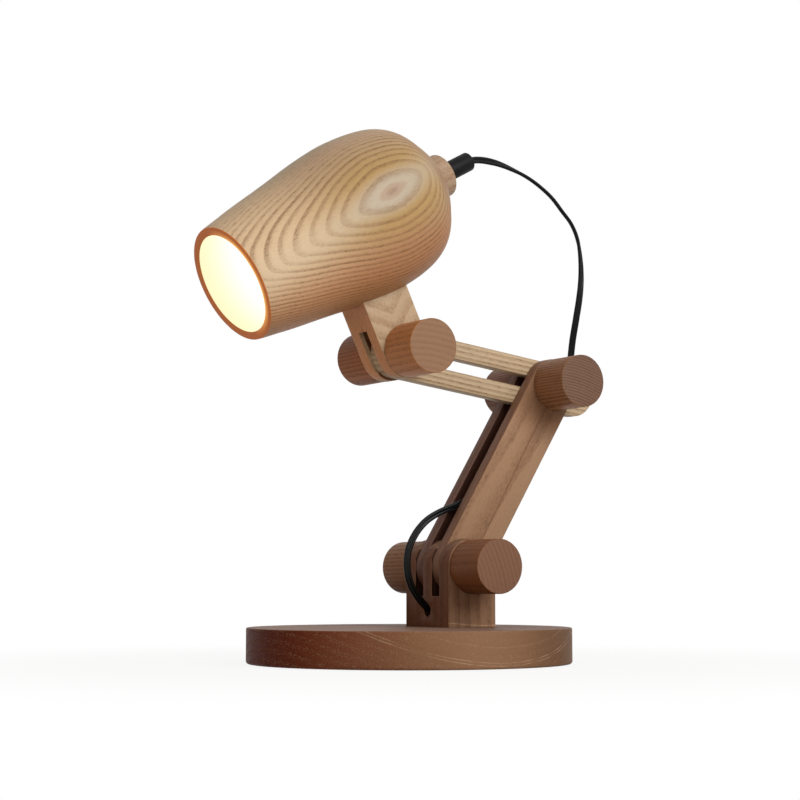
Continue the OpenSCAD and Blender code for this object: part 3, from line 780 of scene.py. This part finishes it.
# Ash, hollowed, with a painted glow: it gives off light itself, so no grain is left to see, only a warm
# white, yellower at the mouth.
painted_glow_ash, tree, surface = bare_finish("ash, lit by the bulb")
deeper = add(tree, "MapRange", [mm_from(tree, mouth, cup_dir), 0.0, YELLOW_EDGE], **SOFTLY)
warm = add(tree, "Mix", {0: deeper, 6: linear("#F0EFC2"), 7: linear("#FFFFFF")}, out=2,
    data_type="RGBA")
feed(tree, surface, {"Base Color": linear("#4A4028"), "Roughness": 0.7, "Emission Color": warm,
    "Emission Strength": 1.0})

# Ash end grain with a painted glow: it gives off light itself, in the orange of light that has come
# through a few millimetres of wood. On the near side, where the wall faces the bulb, its inner edge is
# painted yellow.
glowing_rim = grained_wood("ash rim, light through it", **eye_grain, dark="#94572C", pore="#7C4824",
    band=0.4, tones=[(0, "#AE6832")])
tree = glowing_rim.node_tree
place = add(tree, "TexCoord", out="Object")
radius = add(tree, "VectorMath", [place, mouth], out="Value", operation="DISTANCE")
inner_edge = add(tree, "MapRange", [radius, inside[0].x, outside[0].x - 1 * MM, 1.0, 0.0])
near_side = add(tree, "MapRange", [mm_from(tree, mouth, SIDE), 0.0, NEAR_ARC])
painted_glow_share = add(tree, "Math", [inner_edge, near_side], operation="MULTIPLY")
rim_glow = add(tree, "Mix", {0: painted_glow_share, 6: linear("#C8642A"), 7: linear("#FFC860")}, out=2,
    data_type="RGBA")
rim_power = add(tree, "MapRange", [painted_glow_share, 0.0, 1.0, 0.22, 0.95])
feed(tree, tree.nodes["Principled BSDF"], {"Emission Color": rim_glow, "Emission Strength": rim_power})
print("rim", round((outside[0].x - inside[0].x) / MM, 1), "mm wide")

# %% Which faces are the rim and the hollow
RIM_FACES = 0.7 * RIM_EASE  # the part of its round that looks forwards
ON_FLOOR = 0.1 * MM
wall_at = [(p.y, p.x) for p in inside]
to_cup = cup_axis.inverted()
paint(shade, turned_ash, glowing_rim, painted_glow_ash)
for face in shade.data.polygons:
    spot = to_cup @ face.center
    wall = min(wall_at, key=lambda p: abs(p[0] - spot.z))[1]
    in_hollow = spot.z < CUP_HOLLOW and math.hypot(spot.x, spot.y) < wall + CUP_WALL / 2
    if spot.z < RIM_FACES:
        face.material_index = 1
    elif in_hollow or abs(spot.z - CUP_HOLLOW) < ON_FLOOR:
        face.material_index = 2
print(sum(f.material_index == 2 for f in shade.data.polygons), "faces of the hollow")

# %% [markdown]
# ## Neck
# Behind the shade sit a short wooden collar, a thin black washer and a soft black strain relief that
# keeps the cord from kinking. Three plain tubes would do for the shapes, but each has its own edge: the
# wood is sanded, and the plastic is rounded over. So all three are turned with their own ease.

# %% Collar, washer and strain relief
# Walnut, turned: pale brown, with faint rings and a satin face.
collar_wood = grained_wood("walnut, turned small", spot=mouth, along=cup_dir, outwards=SIDE, pith=60,
    ring=2.4, band=0.4, dark="#8A6648", pore="#6E4E34", tones=[(0, "#A38C74")])
# Polypropylene, moulded: black with a dull shine and no grain.
black_plastic = mottled("polypropylene, moulded black", "#080808", 0.5, grain_size=0.5, depth=0.15,
    shine=0.12)
neck = {  # slot and finish; outer and inner radius, length, ease, and distance from the mouth
    "neck_collar": ("arm_wood", collar_wood, 12.5 * MM, PIPE_HOLE, COLLAR_LEN, 0.6 * MM, CUP_LEN),
    "neck_washer": ("black_plastic", black_plastic, 10.7 * MM, PIPE_HOLE, WASHER_T, 0.4 * MM,
        CUP_LEN + COLLAR_LEN),
    "strain_relief": ("black_plastic", black_plastic, 5.5 * MM, CORD_T, RELIEF_LEN, 1.0 * MM,
        relief_end - RELIEF_LEN),
}
for node, (slot, finish, outer, inner, length, ease, along) in neck.items():
    piece = turned(node + "_turned", eased_tube(outer, inner, length, ease),
        axis_frame(mouth + along * cup_dir, cup_dir), finish, ring_shaped=True)
    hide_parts(node)
    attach(piece, "head")
    print(node, "is", round(2 * outer / MM, 1), "mm across")

# %% [markdown]
# ## Knobs
# Each joint is clamped between two round wooden knobs, six in all. They are cut from one rod, so one
# outline serves them all, and copies of one knob would do. But each was cut at another place of the rod,
# so every knob gets its own wood: the turn of its rings, their spacing and its tones. The ends are cut
# across the fibres, so they drink more finish and show the rings as curved lines.

# %% Six knobs
KNOB_R, KNOB_LEN, KNOB_EASE = 14.8 * MM, 26.5 * MM, 0.5 * MM
knob_rod = eased_rod(KNOB_R, KNOB_LEN, KNOB_EASE)
# Pivot, side and body; tones of side, end, rings and pores; the rings' turn, spacing and strength.
knobs = {
    "lower_knob": (low_pivot, 1, "lower_clamp_knob",
        "#7A4C2B", "#785844", "#5A3C2C", "#4C3226", 20, 2.6, 0.35),
    "lower_knob_fixed": (low_pivot, -1, "base",
        "#865F3E", "#7A563E", "#4E3022", "#3C261A", 80, 2.2, 0.5),
    "elbow_knob": (elbow, 1, "elbow_clamp_knob",
        "#956A48", "#735848", "#4A3026", "#3E2A22", 77, 1.55, 0.75),
    "elbow_knob_fixed": (elbow, -1, "elbow_clamp",
        "#84604E", "#7C5C4C", "#4A322A", "#3A2620", 60, 1.8, 0.5),
    "head_knob": (head, 1, "head_clamp_knob",
        "#B67D4E", "#8B6C53", "#765440", "#66483A", 85, 3.2, 0.35),
    "head_knob_fixed": (head, -1, "head",
        "#9A6038", "#84604A", "#523426", "#40281C", 75, 2.0, 0.5),
}
for node, (pivot, side, body, tone, end, dark, pore, turn, ring, band) in knobs.items():
    low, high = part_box(node)
    start = Vector((low[0] if side > 0 else high[0], pivot.y, pivot.z))
    # Walnut, turned: fine dark lines down the side and arcs on the end, with a low satin shine.
    finish = grained_wood("walnut, turned for " + node, spot=pivot, along=SIDE,
        outwards=leaning(-FRONT, UP, turn), ring=ring, band=band, dark=dark, pore=pore, shine=0.12,
        tones=[(0, tone)], end=(end, 0.7))
    piece = turned(node + "_turned", knob_rod, axis_frame(start, side * SIDE), finish, steps=96)
    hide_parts(node)
    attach(piece, body)
print(len(knobs), "knobs of", len(piece.data.polygons), "faces")

# %% [markdown]
# ## Sawn pieces
# The two arm plates, the post, the forearm, the bracket and the base are sawn and planed. Their packed
# solids already have the right shape, so they stay, and modifiers only clean and ease them: Weld joins
# the loose triangles, Decimate clears the inner edges of the flat faces, and Bevel rounds every sharp
# edge by half a millimetre or less. Rebuilding them would risk a size, and a sharp edge catches no light.

# %% Eased edges
def ease_edges(node, width):
    piece = frame["nodes"][node]
    join = piece.modifiers.new("join", "WELD")
    join.merge_threshold = 0.001 * MM
    flat = piece.modifiers.new("clear flat faces", "DECIMATE")
    flat.decimate_type = "DISSOLVE"
    flat.angle_limit = math.radians(0.5)
    ease = piece.modifiers.new("ease edges", "BEVEL")
    ease.width = width
    ease.segments = 3
    ease.limit_method = "ANGLE"
    ease.angle_limit = math.radians(40)
    ease.harden_normals = True
    piece.data.polygons.foreach_set("use_smooth", [True] * len(piece.data.polygons))


sawn = {"arm_plate_near": 0.5, "arm_plate_far": 0.5, "forearm": 0.5, "head_bracket": 0.5, "post": 0.5,
    "base_disc": 0.3}
for node, ease in sawn.items():
    ease_edges(node, ease * MM)
print("eased by so many mm:", sawn)

# %% [markdown]
# The forearm and the bracket are the same pale ash as the shade. A board that is sawn far from the pith
# shows almost straight lines, so the forearm's pith is put 160 mm away. The bracket's face shows pointed
# arches, so it has a crease like the shade's. Its front face is painted a brighter orange, as painted
# light, and the inside of its fork is painted dark, as painted shade.

# %% Ash of the forearm and the bracket
BRACKET_TILT = 25.3
bracket_dir = leaning(UP, FRONT, BRACKET_TILT)
bracket_front = leaning(FRONT, -UP, BRACKET_TILT)

# Ash, planed and oiled: long dark-brown lines of pores on pale tan, with a soft even sheen.
forearm_ash = grained_wood("ash, planed and oiled", spot=elbow, along=fore_dir,
    outwards=SIDE.cross(fore_dir), pith=160, ring=2.9, wave=0.3, band=0.85, pores=0.6, dark="#80643F",
    pore="#66492A", shine=0.12, tones=[(0, "#B8A488")])
# Ash, sawn and sanded: soft brown arches on tan, dull, with painted light in orange on the front and
# painted shade inside the fork.
bracket_ash = grained_wood("ash, sawn and sanded", spot=head, along=bracket_dir - 0.17 * SIDE,
    outwards=SIDE, pith=300, ring=1.7, wave=0.35, band=0.42, crease=0.16, fold=1.0, dark="#93704E",
    pore="#6E4E34", shine=0.12, tones=[(0, "#B59E80")], faces=[(bracket_front, "#D2976A")],
    hollow=([(SIDE, 0, 4.5), (bracket_front, 0, 12.5)], "#5E3A22"))
paint(frame["nodes"]["forearm"], forearm_ash)
paint(frame["nodes"]["head_bracket"], bracket_ash)
print("bracket leans", round(math.degrees(bracket_dir.angle(UP)), 1), "degrees")

# %% [markdown]
# The arm plates, the post and the base are a darker brown wood. Two things are read off the real pieces
# and not left to chance. Faces that look forwards have a tone of their own, which is painted shade on the
# plates and the post. And the near plate has one thin dark line running all its length, redder wood
# before it and greyer wood behind. Painted shade also darkens the far plate, the slots of the post and
# both ends of the near plate.

# %% Walnut of the arm plates and the post
# Walnut, planed: warm brown with broad soft figure, thin dark pores and almost no shine.
near_walnut = grained_wood("walnut, planed near plate", spot=low_pivot + 10 * MM * SIDE, along=arm_dir,
    outwards=SIDE + 0.35 * arm_front, ring=5.0, wave=1.6, band=0.4, dark="#6C4C38", pore="#523828",
    # Painted shade: a darker front face, a dark foot in the post's slot and a darker top under the elbow knob. The
    # greyer wood behind the dark line is the wood's own.
    shine=0.08, tones=[(0, "#98785D")], faces=[(arm_front, "#80614E")],
    stains=[(-arm_front, 1, 7, "#94785E", 0.7), (-arm_dir, -16, -8, "#5A3D2E", 0.8),
        (arm_dir, 84, 108, "#7A5A42", 0.7)],
    streaks=[(-arm_front, 2.0, 0.35, "#6A4836", 0.7)])
# Painted shade: the far plate is painted darker than the near one all over, purple-brown on its front and near
# black on its inner face, which lies in shade between the plates.
far_walnut = grained_wood("walnut, planed far plate", spot=low_pivot - 8 * MM * SIDE, along=arm_dir,
    outwards=-SIDE + 0.5 * arm_front, pith=64, ring=5.0, wave=1.6, band=0.4, dark="#4C3024",
    pore="#3C261C", shine=0.08, tones=[(0, "#6C4C3C")],
    faces=[(SIDE, "#321C14"), (arm_front, "#765A4E")])
post_low, post_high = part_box("post")
post_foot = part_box("base_disc")[1][2]
post_half = (post_high[1] - post_low[1]) / MM / 2
# Painted shade: the post's front face is darker, and the inside of its slots (post_inside) near black.
post_inside = [(SIDE, 0, 12.7), (FRONT, 0, post_half - 0.6), (UP, -12, 22)]
post_walnut = grained_wood("walnut, planed post", spot=low_pivot, along=UP,
    outwards=Vector((0.6, -0.8, 0)), pith=60, ring=4.0, band=0.42, dark="#54382A", pore="#442C20",
    shine=0.06, tones=[(0, "#876850")], faces=[(FRONT, "#704C38")], hollow=(post_inside, "#2C1A12"),
    streaks=[(UP, (post_foot - low_pivot.z) / MM + 1.6, 0.25, "#B89678", 0.6)])
paint(frame["nodes"]["arm_plate_near"], near_walnut)
paint(frame["nodes"]["arm_plate_far"], far_walnut)
paint(frame["nodes"]["post"], post_walnut)
print("post stands", round((post_high[2] - post_foot) / MM), "mm above the base")

# %% [markdown]
# The base is a thick disc, sawn so that the rings show on its edge as thin pale arcs that hang like a
# garland. Their pith is put 140 mm above the disc. Its left is painted a deep red-brown and its right end
# a darker brown, as painted shade where the disc turns from the light, and the middle is a warm brown. Its
# top face is painted greyer, as painted shade too. A gradient on the whole picture would fake this from one
# side only. Here it is in the wood, so it stays when the lamp is turned.

# %% Walnut of the base
TO_RIGHT = Vector((0.53, 0.85, 0)).normalized()
# Walnut, faced on the lathe: brown with a dull wax finish, pale flecks and a few pale arcs.
base_walnut = grained_wood("walnut, faced and waxed", spot=3.6 * MM * UP, along=SIDE, outwards=-UP,
    pith=140, ring=4.2, wave=0.35, band=0.12, pores=0.34, pore_size=(0.6, 1.8), dark="#5E4234",
    pore="#A0866C", shine=0.04, tones=[(0, "#83634A")],
    arcs=[(middle, 0.2, "#A98C74", share) for middle, share in ((-1.5, 0.7), (0, 0.7), (8, 0.3))],
    # Painted shade: darker towards the left and the right end, and a greyer top face.
    stains=[(-TO_RIGHT, -45, 75, "#5E2812", 1.0), (-TO_RIGHT, 45, 95, "#441002", 1.0),
        (TO_RIGHT, 40, 85, "#634732", 1.0)], faces=[(UP, "#7A6052")])
paint(frame["nodes"]["base_disc"], base_walnut)
print("base in", base_walnut.name)

# %% [markdown]
# ## Fittings
# Screws, the bulb holder, the pipe and its nut, the felt and the cord's bushes are small, and most of
# them hide inside. They could be left grey, but a lamp that is opened or turned over shows them, so each
# takes the finish of what it is made of. A metal keeps the shader's own index of refraction.

# %% Finishes of the fittings
BULB_GLOW = 4.0
# Frosted glass with a lamp in it: an even warm white, with no wire or shape to see inside.
bulb_glass, tree, surface = bare_finish("glass, frosted and lit")
feed(tree, surface, {"Base Color": linear("#FFF6DC"), "Roughness": 0.4,
    "Emission Color": linear("#FFEFC8"), "Emission Strength": BULB_GLOW})
by_slot = {
    "black_plastic": black_plastic,
    # Rubber, moulded: dull black that gives no clear reflection.
    "black_rubber": mottled("rubber, moulded black", "#141414", 0.6, grain_size=0.7, depth=0.2,
        shine=0.2),
    # Steel, zinc plated: a cool grey with blurred reflections.
    "steel": mottled("steel, zinc plated", "#B9BBBD", 0.32, grain_size=1.7, depth=0.12, metallic=1.0),
    # Brass, turned: yellow metal, bright where it catches the light.
    "brass": mottled("brass, turned", "#C9A45C", 0.3, grain_size=1.2, depth=0.1, metallic=1.0),
    # Aluminium, rolled: paler than the steel and as soft in its reflections.
    "aluminium": mottled("aluminium, rolled", "#CFCFCF", 0.3, grain_size=1.2, depth=0.1, metallic=1.0),
    # Wool felt, pressed: dark and matt. Its fibres are drawn 0.3 mm wide, coarser than they are, to show.
    "felt": mottled("wool felt, pressed", "#2A2725", 0.92, grain_size=0.3, depth=0.5, shine=0.1),
    # Porcelain, glazed: a smooth warm white with a clear shine.
    "ceramic": mottled("porcelain, glazed", "#EFECE2", 0.18, grain_size=3.3, depth=0.04),
    "bulb_glass": bulb_glass,
}
slot_of = {s["node"]: s["material_slot"] for s in frame["record"]["subparts"]}
fittings = [node for node, slot in slot_of.items()
    if slot in by_slot and not frame["nodes"][node].hide_render]
for node in fittings:
    paint(frame["nodes"][node], by_slot[slot_of[node]])
print(len(fittings), "fittings:", ", ".join(fittings))

# %% [markdown]
# ## Floor and surround
# A product picture stands on white paper that runs up behind it. A big bright sheet would light the lamp
# from all sides and take its shadows away. Instead the floor and the surround are white only to the rays
# that the camera sends, and to those that mirror off metal or pass through glass. Light Path tells which
# ray is which. Near the base the floor keeps a part of its own pale colour, so the lamp's shadow stays.

# %% Floor
FLOOR = 6.0  # m from the middle to each side
SHADE_REACH = (0.1, 0.4)  # m from the middle, over which the floor turns from nearly white to white


def seen_rays(tree):
    """1 for rays from the camera, a mirror or clear glass, and 0 for those that only light things."""
    seen = [add(tree, "LightPath", out="Is " + kind + " Ray") for kind in
        ("Camera", "Glossy", "Transmission")]
    mirrored = add(tree, "Math", seen[1:], operation="MAXIMUM")
    return add(tree, "Math", [seen[0], mirrored], operation="MAXIMUM")


floor_mesh = bpy.data.meshes.new("floor")
corners = [(x * FLOOR, y * FLOOR, 0) for x, y in ((-1, -1), (1, -1), (1, 1), (-1, 1))]
floor_mesh.from_pydata(corners, [], [(0, 1, 2, 3)])
floor = put_in_scene("floor", floor_mesh)
# Paper, uncoated: pale and matt, with no shine at all.
paper, tree, surface = bare_finish("paper, pale and matt")
feed(tree, surface, {"Base Color": linear("#D8D4D0"), "Roughness": 0.9, "Specular IOR Level": 0.0})
away = add(tree, "VectorMath", [add(tree, "TexCoord", out="Object")], out="Value", operation="LENGTH")
whiteness = add(tree, "MapRange", [away, *SHADE_REACH, 0.9, 1.0], **SOFTLY)
shown = add(tree, "Math", [seen_rays(tree), whiteness], operation="MULTIPLY")
white = add(tree, "Emission", {"Color": (1, 1, 1, 1), "Strength": 1.0})
both = add(tree, "MixShader", [shown, surface.outputs[0], white])
feed(tree, tree.nodes["Material Output"], {"Surface": both})
paint(floor, paper)
print("floor of", 2 * FLOOR, "m")

# %% Surround
world = bpy.data.worlds.new("studio")
scene.world = world
world.use_nodes = True
tree = world.node_tree
tree.nodes.clear()
surround = add(tree, "Background", {"Color": (1, 1, 1, 1), "Strength": 1.0})
fill = add(tree, "Background", {"Color": linear("#FFE6D8"), "Strength": 0.30})
add(tree, "OutputWorld", [add(tree, "MixShader", [seen_rays(tree), fill, surround])])
print("surround of", len(tree.nodes), "nodes")

# %% [markdown]
# ## Lights
# The light comes from the right, rather low, as from a window, with a weak warm one at the front left. A
# sun lamp would give hard edges. Area lights a metre wide give the soft ones of the real picture. Their
# power is set so that a colour comes out about as it is written and no pale wood turns white.

# %% Lights
LAMP_MIDDLE = Vector((0, 0, 0.15))


def soft_light(name, place, size, power, tint):
    data = bpy.data.lights.new(name, "AREA")
    data.size = size
    data.energy = power
    data.color = linear(tint)[:3]
    lamp = put_in_scene(name, data)
    lamp.location = place
    lamp.rotation_euler = (LAMP_MIDDLE - lamp.location).to_track_quat("-Z", "Y").to_euler()
    print(name, "of", power, "W")


soft_light("window light", (1.5, 0.3, 0.95), size=1.0, power=26.5, tint="#FFFFFF")
soft_light("front light", (1.2, -1.4, 0.7), size=1.2, power=5.5, tint="#FFF0E4")

# %% [markdown]
# ## Colour handling
# Blender can bend colours to look like film. That flatters a landscape and spoils a product, whose browns
# have to stay the browns that were written. Standard leaves them alone.

# %% Colour handling
scene.view_settings.view_transform = "Standard"
print("view:", scene.view_settings.view_transform)
